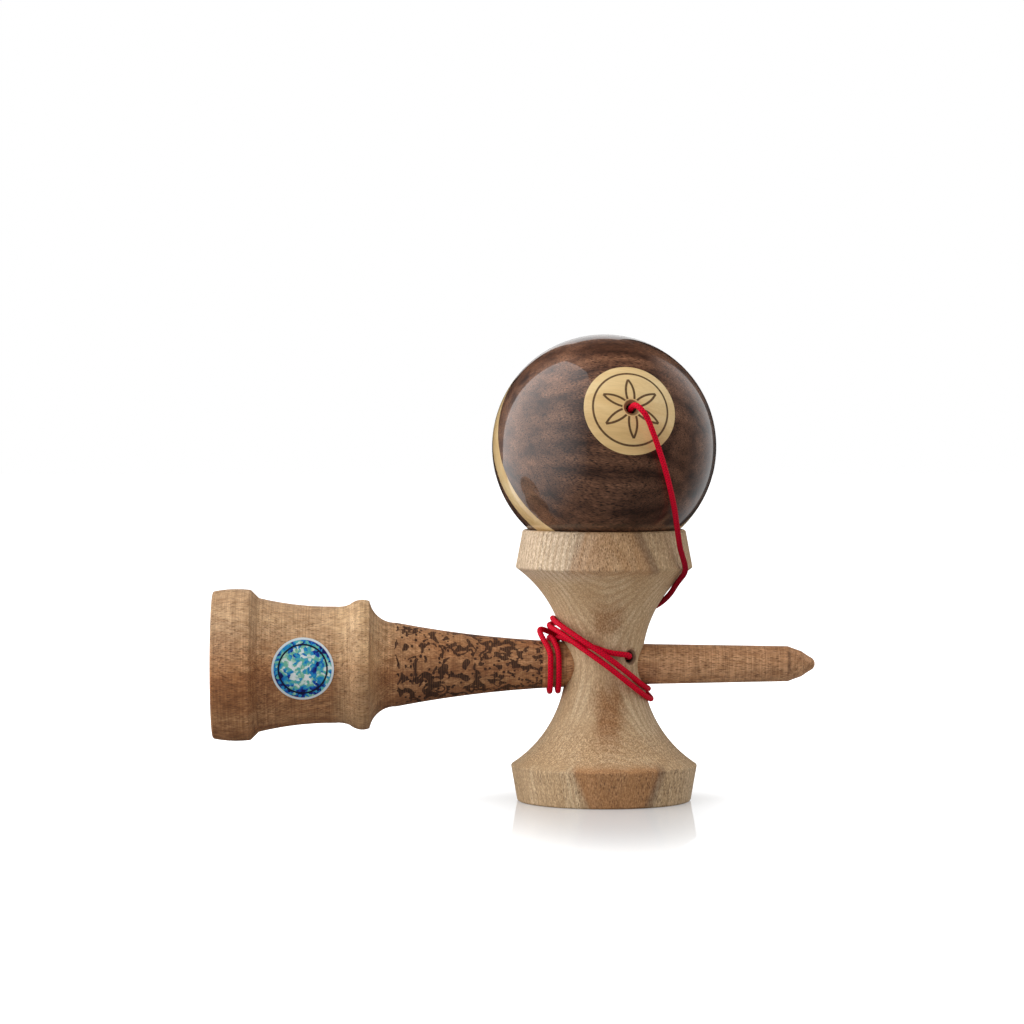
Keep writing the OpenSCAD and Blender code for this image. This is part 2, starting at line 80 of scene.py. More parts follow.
# Camera, at the photograph's view. Places in metres.
IMAGE_FOCAL_PX, IMAGE_PX, SENSOR_MM = 3800.0, 1024.0, 36.0
CAMERA_AT, CAMERA_AIM = Vector((-0.058, -1.05, 0.114)), Vector((-0.0255, 0, 0.080))
CAMERA_CLIP = 20


def facing(way):
    """The turn of a camera or lamp that looks along way."""
    return way.to_track_quat("-Z", "Y").to_euler()


def add(name, data):
    """A new object in the scene."""
    obj = bpy.data.objects.new(name, data)
    bpy.context.collection.objects.link(obj)
    return obj


def make_camera():
    data = bpy.data.cameras.new("camera")
    data.sensor_width = SENSOR_MM
    data.lens = SENSOR_MM * IMAGE_FOCAL_PX / IMAGE_PX
    data.clip_end = CAMERA_CLIP
    camera = add("camera", data)
    camera.location = CAMERA_AT
    camera.rotation_euler = facing(CAMERA_AIM - CAMERA_AT)
    bpy.context.scene.camera = camera


make_camera()


# String: the same route as the solids, in millimetres and degrees.
TURN_STEP = 30
# out through the anchor hole, in steps of the anchor's stop
ANCHOR_RUN = (-1, 1, 3, 4.75)
# turn and height on the way across the waist
CROSS_RUN = [(240, 3.2), (265, 4), (290, 5.6), (315, 6.7), (341, 7.8)]
# turns on the shaft: first and last angle, place and pitch, where and for how long each moves along
SHAFT_START, SHAFT_LAST = 2, 662
TURN_X, TURN_PITCH = 12.8, 2.3
TURN_OVER = (285, 90)
# further turn, step towards the cross cup and lift, where the string leaves the shaft
SHAFT_LEAVE = (63, -2.1, 2.1)
# slanting turns on the waist: height at each half turn, first and last angle
SLANT_LIFTS = [7.1, -6.8, 12.8, -9.6, 10.6, 15]
SLANT_FROM, SLANT_TO = 60, 780
# where a strand passes over another, how far it lifts, and over how many degrees to each side
HOPS = [(287, 2.25), (467, 2.15), (649, 2.25), (747, 2.2)]
HOP_SPREAD = 80
# the free lead, from behind the waist to the ball
LEAD_TURN = 90
LEAD_POINTS = [
    (7.6, 12.9, 50.6), (11.8, 9.9, 52.1), (15.3, 5, 54), (18, -0.8, 57),
    (19.7, -7.4, 60.6), (21.3, -12.8, 63.6), (21.3, -14.9, 65.9),
    (19.9, -16.4, 70.6), (18.9, -18.8, 76), (17.9, -21.8, 81.6),
    (16.4, -25.6, 87.4), (14.6, -28.4, 93.4), (12.9, -30, 98.4),
    (11.4, -31.4, 102.4), (9.8, -32.5, 106.2), (8.6, -32.7, 108),
    (7.1, -31.4, 109.5),
]
SPLINE_STEPS, STRING_STEP, STRING_SIDES = 16, 0.16, 20
SHORT_STEP_SHARE = 0.3


def taper_r(x):
    """Radius of the tapered shaft at x, measured from the cross cup towards the base."""
    return TAPER_C - math.sqrt(TAPER_CURVE_R ** 2 - (TAPER_X + x) ** 2)


def shaft_r(x):
    """Radius of the handle at x, in its seat and on the shaft."""
    if x > SEAT_IN:
        return taper_r(x)
    start = taper_r(SEAT_IN)
    return start + (SPIKE_ROOT_R - start) * (SEAT_IN - x) / (SEAT_IN + SEAT_OUT)


def on_shaft(a, x, over):
    """The string's place on the shaft, a degrees round it."""
    q = shaft_r(x) + STRING_R + LAY_GAP + over
    return Vector((-x, q * turn(a)[1], KEN_Z + q * turn(a)[0]))


def on_waist(a, lift, over):
    """The string's place on the cross cup's waist, a degrees round it."""
    q = WAIST_R + FLARE_R - math.sqrt(FLARE_R ** 2 - lift ** 2)
    q += STRING_R + LAY_GAP + over
    return Vector((-q * turn(a)[0], q * turn(a)[1], KEN_Z + lift))


def slant_lift(a):
    """Height above the handle's axis after a degrees of the slanting turns."""
    i = a // 180
    e = (1 - turn(a - i * 180)[0]) / 2
    return SLANT_LIFTS[i] * (1 - e) + SLANT_LIFTS[i + 1] * e


def turns_over(a):
    """How many pitches the turns on the shaft have moved along after a degrees."""
    d = max(a - TURN_OVER[0], 0)
    n = d // 360
    q = min((d - n * 360) / TURN_OVER[1], 1)
    return n + q * q * (3 - 2 * q)


def ride_over(a):
    """How far a strand lifts to pass over the strand below it."""
    return sum(h * turn(90 * (a - c) / HOP_SPREAD)[0] ** 2
               for c, h in HOPS if abs(a - c) < HOP_SPREAD)


def string_route():
    """From the anchor knot, round the waist and the shaft, and up to the bead."""
    route = [ANCHOR_MID + ANCHOR_AXIS * ANCHOR_STOP * s for s in ANCHOR_RUN]
    route += [on_waist(a, z, 0) for a, z in CROSS_RUN]
    route += [on_shaft(a, TURN_X + TURN_PITCH * turns_over(a), 0)
              for a in range(SHAFT_START, SHAFT_LAST + 1, TURN_STEP)]
    leave, back, over = SHAFT_LEAVE
    last_x = TURN_X + TURN_PITCH * turns_over(SHAFT_LAST)
    route.append(on_shaft(SHAFT_LAST + leave, last_x - back, over))
    route += [on_waist(a, slant_lift(a), ride_over(a))
              for a in range(SLANT_FROM, SLANT_TO + 1, TURN_STEP)]
    lead = on_waist(LEAD_TURN, slant_lift(SLANT_TO + TURN_STEP), 0)
    way = Vector((2 * STRING_R, 0, 0))
    route += [lead + way * k for k in (-2, -1, 0, 1, 2)]
    route += [Vector(p) for p in LEAD_POINTS]
    for h in (TAMA_R + STRING_R, (INLAY_FLOOR + POCKET_TOP) / 2,
              BEAD_TOP + BEAD_GAP, BEAD_LOW):
        route.append(TAMA_MID + TAMA_AXIS * h)
    return route


def spline(p, steps):
    """A smooth curve through the points p."""
    q = [p[0] * 2 - p[1]] + list(p) + [p[-1] * 2 - p[-2]]
    out = []
    for i in range(len(p) - 1):
        a, b, c, d = q[i:i + 4]
        for j in range(steps):
            t = j / steps
            out.append((b * 2 + (c - a) * t
                        + (a * 2 - b * 5 + c * 4 - d) * t ** 2
                        + (b * 3 - a - c * 3 + d) * t ** 3) / 2)
    out.append(p[-1])
    return out


def even(path, step):
    """The same curve with points one step apart."""
    out, left = [path[0].copy()], step
    for a, b in zip(path, path[1:]):
        seg = (b - a).length
        done = 0.0
        while seg - done >= left:
            done += left
            out.append(a.lerp(b, done / seg))
            left = step
        left -= seg - done
    if (out[-1] - path[-1]).length > step * SHORT_STEP_SHARE:
        out.append(path[-1].copy())
    else:
        out[-1] = path[-1].copy()
    return out


BRAID_PITCH, BRAID_CARRIERS, BRAID_DEPTH = 3.2, 4, 0.075
STRAND_MEAN, STRAND_RISE = 0.6, 0.4


def braid(a, s):
    """Radius of a round braid at angle a and length s, as a share of its own."""
    u = BRAID_CARRIERS * a
    v = 2 * math.pi * BRAID_CARRIERS * s / BRAID_PITCH
    one = math.cos((u + v) / 2) ** 2
    two = math.cos((u - v) / 2) ** 2
    rise = STRAND_RISE * math.sin(u / 2 + v / 2) * math.sin(u / 2 - v / 2)
    relief = max(one * (STRAND_MEAN + rise), two * (STRAND_MEAN - rise))
    return 1 - BRAID_DEPTH + BRAID_DEPTH * relief


def tube(name, path, r, sides):
    """A braided cord along path, which is in millimetres, and the cord's length."""
    bm = bmesh.new()
    uv = bm.loops.layers.uv.new("along")
    side = Vector((0, 0, 1))
    rings, length = [], [0.0]
    for i, p in enumerate(path):
        t = (path[min(i + 1, len(path) - 1)] - path[max(i - 1, 0)]).normalized()
        side = (side - t * side.dot(t)).normalized()
        up = t.cross(side)
        if i:
            length.append(length[-1] + (p - path[i - 1]).length)
        ring = []
        for k in range(sides):
            a = 2 * math.pi * k / sides
            q = r * braid(a, length[-1])
            ring.append(bm.verts.new((p + (side * math.cos(a) + up * math.sin(a)) * q) * MM))
        rings.append(ring)
    for i in range(len(rings) - 1):
        for k in range(sides):
            m = (k + 1) % sides
            f = bm.faces.new((rings[i][k], rings[i][m], rings[i + 1][m], rings[i + 1][k]))
            f.smooth = True
            for loop, (du, dv) in zip(f.loops, ((0, 0), (1, 0), (1, 1), (0, 1))):
                loop[uv].uv = ((k + du) / sides, length[i + dv] / BRAID_PITCH)
    bm.faces.new(list(reversed(rings[0])))
    bm.faces.new(rings[-1])
    bm.normal_update()
    mesh = bpy.data.meshes.new(name)
    bm.to_mesh(mesh)
    bm.free()
    return add(name, mesh), length[-1]


def make_string():
    path = even(spline(string_route(), SPLINE_STEPS), STRING_STEP)
    obj, length = tube("string", path, STRING_R, STRING_SIDES)
    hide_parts("string_winding", "string_lead")
    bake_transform(obj)
    return obj


string = make_string()


# Knots: an overhand knot pulled tight, where the solids have a ball with a flat.
KNOT_POINTS, KNOT_STEP, KNOT_SIDES = 72, 0.12, 14
KNOT_STRING_R, KNOT_SINK = 0.72, 1.65
KNOT_ACROSS, KNOT_DEEP = 0.47, 0.62


def make_knot(name, node, at, axis, body):
    z = axis.normalized()
    x = z.orthogonal().normalized()
    y = z.cross(x)
    points = []
    for i in range(KNOT_POINTS):
        t = 2 * math.pi * i / KNOT_POINTS
        a = math.sin(t) + 2 * math.sin(2 * t)
        b = math.cos(t) - 2 * math.cos(2 * t)
        c = -math.sin(3 * t)
        points.append(at - z * KNOT_SINK + (x * a + y * b) * KNOT_ACROSS + z * c * KNOT_DEEP)
    points.append(points[0].copy())
    obj, _ = tube(name, even(points, KNOT_STEP), KNOT_STRING_R, KNOT_SIDES)
    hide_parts(node)
    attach(obj, body)
    return obj


knots = [
    make_knot("anchor_knot_tied", "anchor_knot",
              ANCHOR_MID - ANCHOR_AXIS * ANCHOR_STOP, ANCHOR_AXIS, "handle"),
    make_knot("bead_knot_tied", "bead_knot",
              TAMA_MID + TAMA_AXIS * BEAD_LOW, TAMA_AXIS, "bead"),
]


# Shader helpers.
WHITE = (1, 1, 1)


class Tree:
    """A material's nodes, with short names for the ones in use here."""

    def __init__(self, name):
        self.mat = bpy.data.materials.new(name)
        self.mat.use_nodes = True
        self.tree = self.mat.node_tree
        self.tree.nodes.clear()

    def node(self, kind, ins=None, **props):
        n = self.tree.nodes.new(kind)
        for k, v in props.items():
            setattr(n, k, v)
        for k, v in (ins or {}).items():
            self.put(n.inputs[k], v)
        return n

    def put(self, socket, v):
        if isinstance(v, bpy.types.NodeSocket):
            self.tree.links.new(v, socket)
        elif isinstance(v, (tuple, list)) and len(v) == 3 and socket.type == "RGBA":
            socket.default_value = (*v, 1)
        else:
            socket.default_value = v

    def math(self, op, *values):
        n = self.node("ShaderNodeMath", operation=op)
        for socket, v in zip(n.inputs, values):
            self.put(socket, v)
        return n.outputs[0]

    def times(self, a, b):
        return self.math("MULTIPLY", a, b)

    def minus(self, a, b):
        return self.math("SUBTRACT", a, b)

    def larger(self, a, b):
        return self.math("MAXIMUM", a, b)

    def line(self, v, slope, start):
        """v times slope, plus start."""
        return self.math("MULTIPLY_ADD", v, slope, start)

    def apart(self, a, b):
        """How far a is from b."""
        return self.math("ABSOLUTE", self.minus(a, b))

    def vec(self, op, a, b=None, scale=None):
        n = self.node("ShaderNodeVectorMath", operation=op)
        self.put(n.inputs[0], a)
        if b is not None:
            self.put(n.inputs[1], b)
        if scale is not None:
            self.put(n.inputs[3], scale)
        return n.outputs["Value" if op in ("LENGTH", "DOT_PRODUCT", "DISTANCE") else "Vector"]

    def smooth(self, v, start, end, low=0.0, high=1.0):
        """low up to start, high from end on, and a smooth step between."""
        n = self.node("ShaderNodeMapRange", interpolation_type="SMOOTHSTEP")
        for socket, x in zip(n.inputs, (v, start, end, low, high)):
            self.put(socket, x)
        return n.outputs[0]

    def mix(self, f, a, b, how="MIX"):
        n = self.node("ShaderNodeMix", data_type="RGBA", blend_type=how)
        self.put(n.inputs[0], f)
        self.put(n.inputs[6], a)
        self.put(n.inputs[7], b)
        return n.outputs[2]

    def tint(self, colour, mask, strength, to):
        """colour, changed to another where mask says, by the given strength."""
        return self.mix(self.times(mask, strength), colour, to)

    def tone(self, colour, strength, v, stops):
        """colour, multiplied by a ramp of v."""
        return self.mix(strength, colour, self.ramp(v, stops), "MULTIPLY")

    def ramp(self, f, stops):
        n = self.node("ShaderNodeValToRGB", {0: f})
        elements = n.color_ramp.elements
        while len(elements) < len(stops):
            elements.new(0.5)
        for element, (place, colour) in zip(elements, stops):
            element.position, element.color = place, (*colour, 1)
        return n.outputs[0]

    def noise(self, at, scale, detail=2.0, rough=0.5, warp=0.0):
        ins = {"Vector": at, "Scale": scale, "Detail": detail,
               "Roughness": rough, "Distortion": warp}
        return self.node("ShaderNodeTexNoise", ins).outputs[0]

    def drift(self, at, scale, by):
        """Places moved a little by a noise."""
        n = self.node("ShaderNodeTexNoise", {"Vector": at, "Scale": scale})
        return self.vec("ADD", at, self.vec("SCALE", n.outputs[1], scale=by))

    def cells(self, at, scale):
        return self.node("ShaderNodeTexVoronoi", {"Vector": at, "Scale": scale}).outputs

    def place(self):
        return self.node("ShaderNodeTexCoord").outputs["Object"]

    def stretched(self, at, sx, sy, sz):
        return self.vec("MULTIPLY", at, (sx, sy, sz))

    def split(self, at):
        return self.node("ShaderNodeSeparateXYZ", {0: at}).outputs

    def join(self, x, y):
        return self.node("ShaderNodeCombineXYZ", {0: x, 1: y}).outputs[0]

    def bump(self, height, strength, depth):
        ins = {"Height": height, "Strength": strength, "Distance": depth}
        return self.node("ShaderNodeBump", ins).outputs[0]

    def glow(self, power):
        return self.node("ShaderNodeEmission", {"Color": WHITE, "Strength": power}).outputs[0]

    def finish(self, shader):
        self.node("ShaderNodeOutputMaterial", {0: shader})
        return self.mat

    def surface(self, **ins):
        named = {k.replace("_", " "): v for k, v in ins.items()}
        return self.finish(self.node("ShaderNodeBsdfPrincipled", named).outputs[0])


# Woods. Lengths in shaders are in metres, apart from across and along, in millimetres.
GRAIN_ALONG_X, GRAIN_ALONG_Z = (0, math.radians(90), 0), (0, 0, 0)
GRAIN_OF_TAMA = (0, math.radians(83), math.radians(8))
PORE_SMALL, PORE_RANGE, PORE_SOFT = 0.6, 0.8, 0.5
PORE_DRIFT_SCALE, PORE_DRIFT = 90.0, 0.0012


def grain_space(t, rotation, about):
    """Coordinates in metres whose Z runs along the grain."""
    at = t.vec("SUBTRACT", t.place(), tuple(c * MM for c in about))
    return t.node("ShaderNodeVectorRotate", {"Vector": at, "Rotation": rotation},
                  rotation_type="EULER_XYZ").outputs[0]


def drawn_out(t, g, across, along):
    """Grain coordinates counted in steps of across and along, which are in millimetres."""
    return t.stretched(g, 1 / across / MM, 1 / across / MM, 1 / along / MM)


def pores(t, g, across, along, size, share):
    """Short dark dashes along the grain, dots where it is cut across."""
    wavy = t.drift(g, PORE_DRIFT_SCALE, PORE_DRIFT)
    cell = t.cells(drawn_out(t, wavy, across, along), 1.0)
    pick = t.split(cell["Color"])
    on = t.math("LESS_THAN", pick[0], share)
    edge = t.line(pick[1], size * PORE_RANGE, size * PORE_SMALL)
    core = t.minus(1.0, t.smooth(cell["Distance"], t.times(edge, PORE_SOFT), edge))
    return t.times(core, on)


def fibres(t, g, across, along):
    return t.noise(drawn_out(t, g, across, along), 1.0, detail=3.0, rough=0.6)


# Handle: where its colours change. A pair runs from a colour's faint end to its full one.
TOP_LIT_X, TOP_LIT_Z = (-0.050, -0.066), (0.045, 0.058)
FLANGE_SIDES_X = (-0.0600, -0.0650), (-0.0765, -0.0715)
HEART_X, HEART_Z = (-0.094, -0.1005), (0.052, 0.044)
SPIKE_X = (0.004, 0.016)
SHADED_UNDERSIDE_Z = ((KEN_Z - 13) * MM, (KEN_Z + 2) * MM)
BAND_SWAY = 0.016
MOTTLE_START_X, MOTTLE_SWAY, MOTTLE_END_X = -0.0590, 0.003, -0.0172
MOTTLE_SHAFT_R = 0.0085
HATCH_PITCH, HATCH_EDGE, HATCH_DEPTH = 0.00062, (0.2, 0.9), -0.24
BLOT_LOW, BLOT_HIGH = (0.545, 0.555), (0.735, 0.725)
DROP_EDGE, DROP_SHARE = (0.36, 0.28), 0.55
MARK_X, MARK_EDGE, MARK_PATCHES = 0.0510, (0.0007, 0.0002), (0.42, 0.62)


def mottling(t, x, y, z):
    """Burnt field between the cove and the string: its extent, its marks and their colour."""
    start = t.line(t.noise(t.place(), 420.0), MOTTLE_SWAY, MOTTLE_START_X)
    field = t.times(t.math("GREATER_THAN", x, start), t.math("LESS_THAN", x, MOTTLE_END_X))
    around = t.times(t.math("ARCTAN2", y, t.minus(z, KEN_Z * MM)), MOTTLE_SHAFT_R)
    skin = t.join(x, around)
    swirl = t.noise(skin, 300.0, detail=1.0, rough=0.4, warp=1.2)
    blot = t.times(t.smooth(swirl, *BLOT_LOW), t.smooth(swirl, *BLOT_HIGH))
    hatch = t.math("SINE", t.times(x, 2 * math.pi / HATCH_PITCH))
    blot = t.times(blot, t.line(t.smooth(hatch, *HATCH_EDGE), HATCH_DEPTH, 1.0))
    drops = t.cells(skin, 780.0)
    chosen = t.math("LESS_THAN", t.split(drops["Color"])[0], DROP_SHARE)
    dot = t.times(t.smooth(drops["Distance"], *DROP_EDGE), chosen)
    scorch = t.ramp(t.noise(skin, 900.0), [(0.3, (0.018, 0.0065, 0.0036)),
                                           (0.7, (0.060, 0.023, 0.011))])
    return field, t.times(field, t.larger(blot, dot)), scorch


def handle_wood():
    t = Tree("handle_wood")
    g = grain_space(t, GRAIN_ALONG_X, (0, 0, KEN_Z))
    x, y, z = t.split(t.place())
    bands = t.noise(t.stretched(g, 1, 1, 0.10), 105.0, detail=4.0, rough=0.6, warp=0.5)
    colour = t.ramp(bands, [(0.28, (0.23, 0.088, 0.030)), (0.48, (0.37, 0.165, 0.066)),
                            (0.68, (0.50, 0.27, 0.125))])
    fine = fibres(t, g, across=0.25, along=2.2)
    colour = t.tone(colour, 0.9, fine, [(0.33, (0.48, 0.42, 0.36)), (0.5, (0.98, 0.96, 0.94)),
                                        (0.67, (1.45, 1.48, 1.50))])
    # painted light: paler along the top of the base, where light falls from above; paler on the
    # flange, heartwood below
    up = t.line(bands, BAND_SWAY, z)
    top_lit = t.times(t.smooth(up, *TOP_LIT_Z), t.smooth(x, *TOP_LIT_X))
    colour = t.tint(colour, top_lit, 0.55, (0.54, 0.385, 0.225))
    flange = t.times(*(t.smooth(x, *side) for side in FLANGE_SIDES_X))
    colour = t.tint(colour, flange, 0.42, (0.62, 0.41, 0.215))
    heart = t.times(t.smooth(x, *HEART_X), t.smooth(up, *HEART_Z))
    colour = t.tint(colour, heart, 0.35, (0.34, 0.128, 0.036))
    colour = t.tint(colour, t.smooth(x, *SPIKE_X), 0.38, (0.58, 0.345, 0.19))
    # painted shade: darker on the underside
    colour = t.vec("SCALE", colour, scale=t.smooth(z, *SHADED_UNDERSIDE_Z, low=0.80))
    blotch = t.noise(t.stretched(g, 1, 1, 0.5), 620.0, detail=3.0, rough=0.65, warp=0.4)
    colour = t.tone(colour, 0.8, blotch, [(0.36, (0.74, 0.68, 0.62)), (0.5, WHITE),
                                          (0.64, (1.20, 1.24, 1.28))])
    dark = pores(t, g, across=0.22, along=1.3, size=0.44, share=0.60)
    colour = t.tint(colour, dark, 0.72, (0.095, 0.038, 0.016))
    # fine rings left by the turning tool
    turned = t.noise(t.stretched(t.place(), 1, 0.02, 0.02), 2600.0, rough=0.7)
    colour = t.tone(colour, 0.7, turned, [(0.35, (0.72, 0.68, 0.64)), (0.65, (1.25, 1.27, 1.29))])
    field, burnt, scorch = mottling(t, x, y, z)
    colour = t.tint(colour, field, 0.22, (0.20, 0.085, 0.040))
    colour = t.tint(colour, burnt, 0.95, scorch)
    # the tool's mark where the point begins
    mark = t.times(t.smooth(t.apart(x, MARK_X), *MARK_EDGE),
                   t.smooth(t.noise(t.place(), 260.0), *MARK_PATCHES))
    colour = t.tint(colour, mark, 0.6, (0.12, 0.055, 0.028))
    height = t.minus(t.times(fine, 0.35), t.line(burnt, 1.2, dark))
    height = t.line(turned, 0.35, height)
    return t.surface(Base_Color=colour, Roughness=t.line(fine, 0.16, 0.50),
                     Normal=t.bump(height, strength=0.4, depth=0.00016),
                     Specular_IOR_Level=0.32)


# Cross cup: where its colours change.
LIT_PALE_Z, LIT_PALE_X = (0.0600, 0.0640), (0.004, -0.014)
RING_LEAN, RING_X, RING_Y = -0.035, 0.0030, 0.040
RING_PITCH, RING_WAVE = 0.0017, 0.0050
PITH_Y, PITH_EDGE, PITH_WAVE = 0.0235, (0.0130, 0.0108), 0.6
RIM_OUT, RIM_IN, RIM_X = (0.0146, 0.0130), (0.0100, 0.0120), (-0.010, 0.008)
LOW_BAND_Z, HIGH_BAND_Z = (0.0128, 0.0098), (0.0620, 0.0650)
BANDS_MID_Z, BANDS_HALF, BANDS_TAPER = 0.0368, 0.0270, 0.42
STREAK_X, STREAK_WAVE = 0.0004, 0.006
STREAK_EDGE, STREAK_FRONT_Y = (0.0060, 0.0018), (-0.004, -0.009)
STREAK_UPPER_Z, STREAK_LOWER_Z = ((0.044, 0.050), (0.058, 0.051)), ((0.036, 0.029), (0.0125, 0.0220))
FOOT_Z = (0.0235, 0.0160), (0.0105, 0.0125)
MOUTH_SHADE_EDGE = (STRING_MOUTH_R * MM, 0.0020)
HOLE_SHADE_EDGE, HOLE_SHADE_FRONT_Y = (0.0018, STRING_HOLE_R * MM), (-0.002, -0.004)
RING_BROWN = (0.36, 0.215, 0.105)


def waist_streak(t, g, x, y, z):
    """A brown streak down the front of the waist."""
    wave = t.line(t.noise(t.stretched(g, 1, 1, 0.6), 150.0, detail=3.0), STREAK_WAVE, -STREAK_WAVE / 2)
    off = t.math("ABSOLUTE", t.math("ADD", t.minus(x, STREAK_X), wave))
    streak = t.times(t.smooth(off, *STREAK_EDGE), t.smooth(y, *STREAK_FRONT_Y))
    start, end = STREAK_UPPER_Z
    upper = t.times(t.smooth(z, *start, high=0.7), t.smooth(z, *end))
    start, end = STREAK_LOWER_Z
    lower = t.times(t.smooth(z, *start), t.smooth(z, *end, low=0.15))
    return t.times(streak, t.larger(lower, upper))


def cup_wood():
    t = Tree("cup_wood")
    g = grain_space(t, GRAIN_ALONG_Z, (0, 0, 0))
    x, y, z = t.split(t.place())
    bands = t.noise(t.stretched(g, 1, 1, 0.16), 120.0, detail=4.0, rough=0.6, warp=0.5)
    colour = t.ramp(bands, [(0.28, (0.43, 0.275, 0.142)), (0.5, (0.52, 0.360, 0.205)),
                            (0.72, (0.62, 0.465, 0.290))])
    # painted light: paler on the upper left, where the light from the left and above falls
    lit_paler = t.times(t.smooth(z, *LIT_PALE_Z), t.smooth(x, *LIT_PALE_X))
    colour = t.tint(colour, lit_paler, 0.45, (0.70, 0.58, 0.45))
    # growth rings about a line in front of the wood, so that they arch on the flares
    wave = t.line(t.noise(t.stretched(g, 1, 1, 0.35), 60.0), RING_WAVE, -RING_WAVE / 2)
    dx = t.minus(x, t.line(z, RING_LEAN, RING_X))
    ring_d = t.math("ADD", t.vec("LENGTH", t.join(dx, t.math("ADD", y, RING_Y))), wave)
    rings = t.smooth(t.math("SINE", t.times(ring_d, 2 * math.pi / RING_PITCH)), -0.4, 1.0)
    rings = t.times(rings, t.smooth(bands, 0.33, 0.62, 0.20, 0.48))
    colour = t.mix(rings, colour, RING_BROWN)
    # heartwood in the two bands, about a nearer line, darkest at its right edge
    near = t.vec("LENGTH", t.join(dx, t.math("ADD", y, PITH_Y)))
    pith = t.line(wave, PITH_WAVE, near)
    inside = t.larger(t.smooth(z, *LOW_BAND_Z), t.smooth(z, *HIGH_BAND_Z))
    ends = t.minus(t.apart(z, BANDS_MID_Z), BANDS_HALF)
    taper = t.line(t.larger(ends, 0.0), BANDS_TAPER, pith)
    depth = t.line(t.smooth(z, 0.040, 0.030), 0.36, 0.38)
    heart = t.times(t.smooth(taper, *PITH_EDGE), t.line(inside, depth, 0.06))
    colour = t.mix(heart, colour, (0.37, 0.165, 0.058))
    rim = t.times(t.smooth(taper, *RIM_OUT), t.smooth(taper, *RIM_IN))
    rim = t.times(rim, t.smooth(x, *RIM_X, low=0.30))
    rim = t.times(rim, t.times(inside, 0.55))
    colour = t.mix(rim, colour, (0.155, 0.080, 0.044))
    streak = waist_streak(t, g, x, y, z)
    colour = t.tint(colour, streak, 0.80, (0.26, 0.108, 0.035))
    # specks of cut fibres, thickest in the streak and just above the lower band
    foot = t.times(*(t.smooth(z, *end) for end in FOOT_Z))
    colour = t.tint(colour, foot, 0.30, RING_BROWN)
    thick = t.larger(t.larger(streak, foot), t.times(inside, 0.10))
    fleck = t.noise(t.stretched(g, 1, 1, 0.65), 2500.0, detail=1.5, rough=0.6)
    colour = t.tone(colour, t.line(thick, 0.50, 0.45), fleck,
                    [(0.34, (0.70, 0.66, 0.62)), (0.5, WHITE), (0.64, (1.46, 1.55, 1.63))])
    fine = fibres(t, g, across=0.24, along=2.8)
    colour = t.tone(colour, t.line(inside, 0.35, 0.55), fine,
                    [(0.32, (0.66, 0.61, 0.56)), (0.68, (1.22, 1.24, 1.26))])
    dark = pores(t, g, across=0.27, along=1.7, size=0.42, share=0.60)
    more = t.smooth(t.noise(t.stretched(g, 1, 1, 0.2), 130.0), 0.36, 0.60, low=0.20)
    dark = t.times(dark, t.times(more, t.line(inside, 0.6, 0.4)))
    colour = t.tint(colour, dark, 0.9, (0.10, 0.050, 0.024))
    # painted shade in the string hole: near black on its wall and darker round its eased mouth
    ca, sa = turn(ANCHOR_TURN)
    across = t.line(x, ca, t.times(y, sa))
    hole = t.vec("LENGTH", t.join(across, t.minus(z, (KEN_Z + ANCHOR_RISE) * MM)))
    front = t.smooth(y, *HOLE_SHADE_FRONT_Y)
    mouth_shade = t.times(t.smooth(hole, *MOUTH_SHADE_EDGE, high=0.72), front)
    colour = t.mix(mouth_shade, colour, (0.15, 0.078, 0.042))
    wall = t.times(t.smooth(hole, *HOLE_SHADE_EDGE, high=0.9), front)
    colour = t.mix(wall, colour, (0.012, 0.006, 0.004))
    height = t.minus(t.times(fine, 0.3), dark)
    return t.surface(Base_Color=colour, Roughness=t.line(fine, 0.15, 0.52),
                     Normal=t.bump(height, strength=0.35, depth=0.00014),
                     Specular_IOR_Level=0.30)


# Ball.
TOP_LIGHT_Z = ((TAMA_Z + 8) * MM, (TAMA_Z + 27) * MM)
LINE_OUT, LINE_IN = 0.62, 0.38
INLAY_RING_R, INLAY_RING_W = 10.35, 0.55
PETALS, PETAL_R, PETAL_W = 6, 8.4, 0.62
ROSETTE_OUT, ROSETTE_IN = 8.5, 2.6
HOLE_BURN = (2.5 * MM, 2.0 * MM)
INLAY_HEIGHT = 0.02


def ball_dark_wood():
    t = Tree("ball_dark_wood")
    g = grain_space(t, GRAIN_OF_TAMA, (0, 0, TAMA_Z))
    warp = t.times(t.noise(t.stretched(g, 1, 1, 0.7), 36.0, detail=1.0), 0.012)
    bent = t.vec("ADD", t.stretched(g, 1, 1, 0.045), t.vec("SCALE", (1.0, 1.0, 0.0), scale=warp))
    bands = t.noise(bent, 210.0, detail=2.5, rough=0.55, warp=0.1)
    colour = t.ramp(bands, [(0.30, (0.026, 0.0108, 0.0064)), (0.42, (0.066, 0.0275, 0.0145)),
                            (0.56, (0.124, 0.0550, 0.0285)), (0.76, (0.195, 0.092, 0.049))])
    fine = fibres(t, g, across=0.24, along=1.3)
    colour = t.tone(colour, 0.95, fine, [(0.34, (0.30, 0.26, 0.24)), (0.5, (0.95, 0.93, 0.92)),
                                         (0.66, (1.75, 1.78, 1.8))])
    # painted light: paler towards the top, where more light falls from above
    lit_paler = t.smooth(t.split(t.place())[2], *TOP_LIGHT_Z, low=1.0, high=1.55)
    colour = t.vec("SCALE", colour, scale=lit_paler)
    dark = pores(t, g, across=0.33, along=1.5, size=0.44, share=0.55)
    colour = t.tint(colour, dark, 0.92, (0.009, 0.0038, 0.0026))
    return t.surface(Base_Color=colour, Roughness=0.38,
                     Coat_Weight=1.0, Coat_Roughness=0.012, Coat_IOR=1.52)


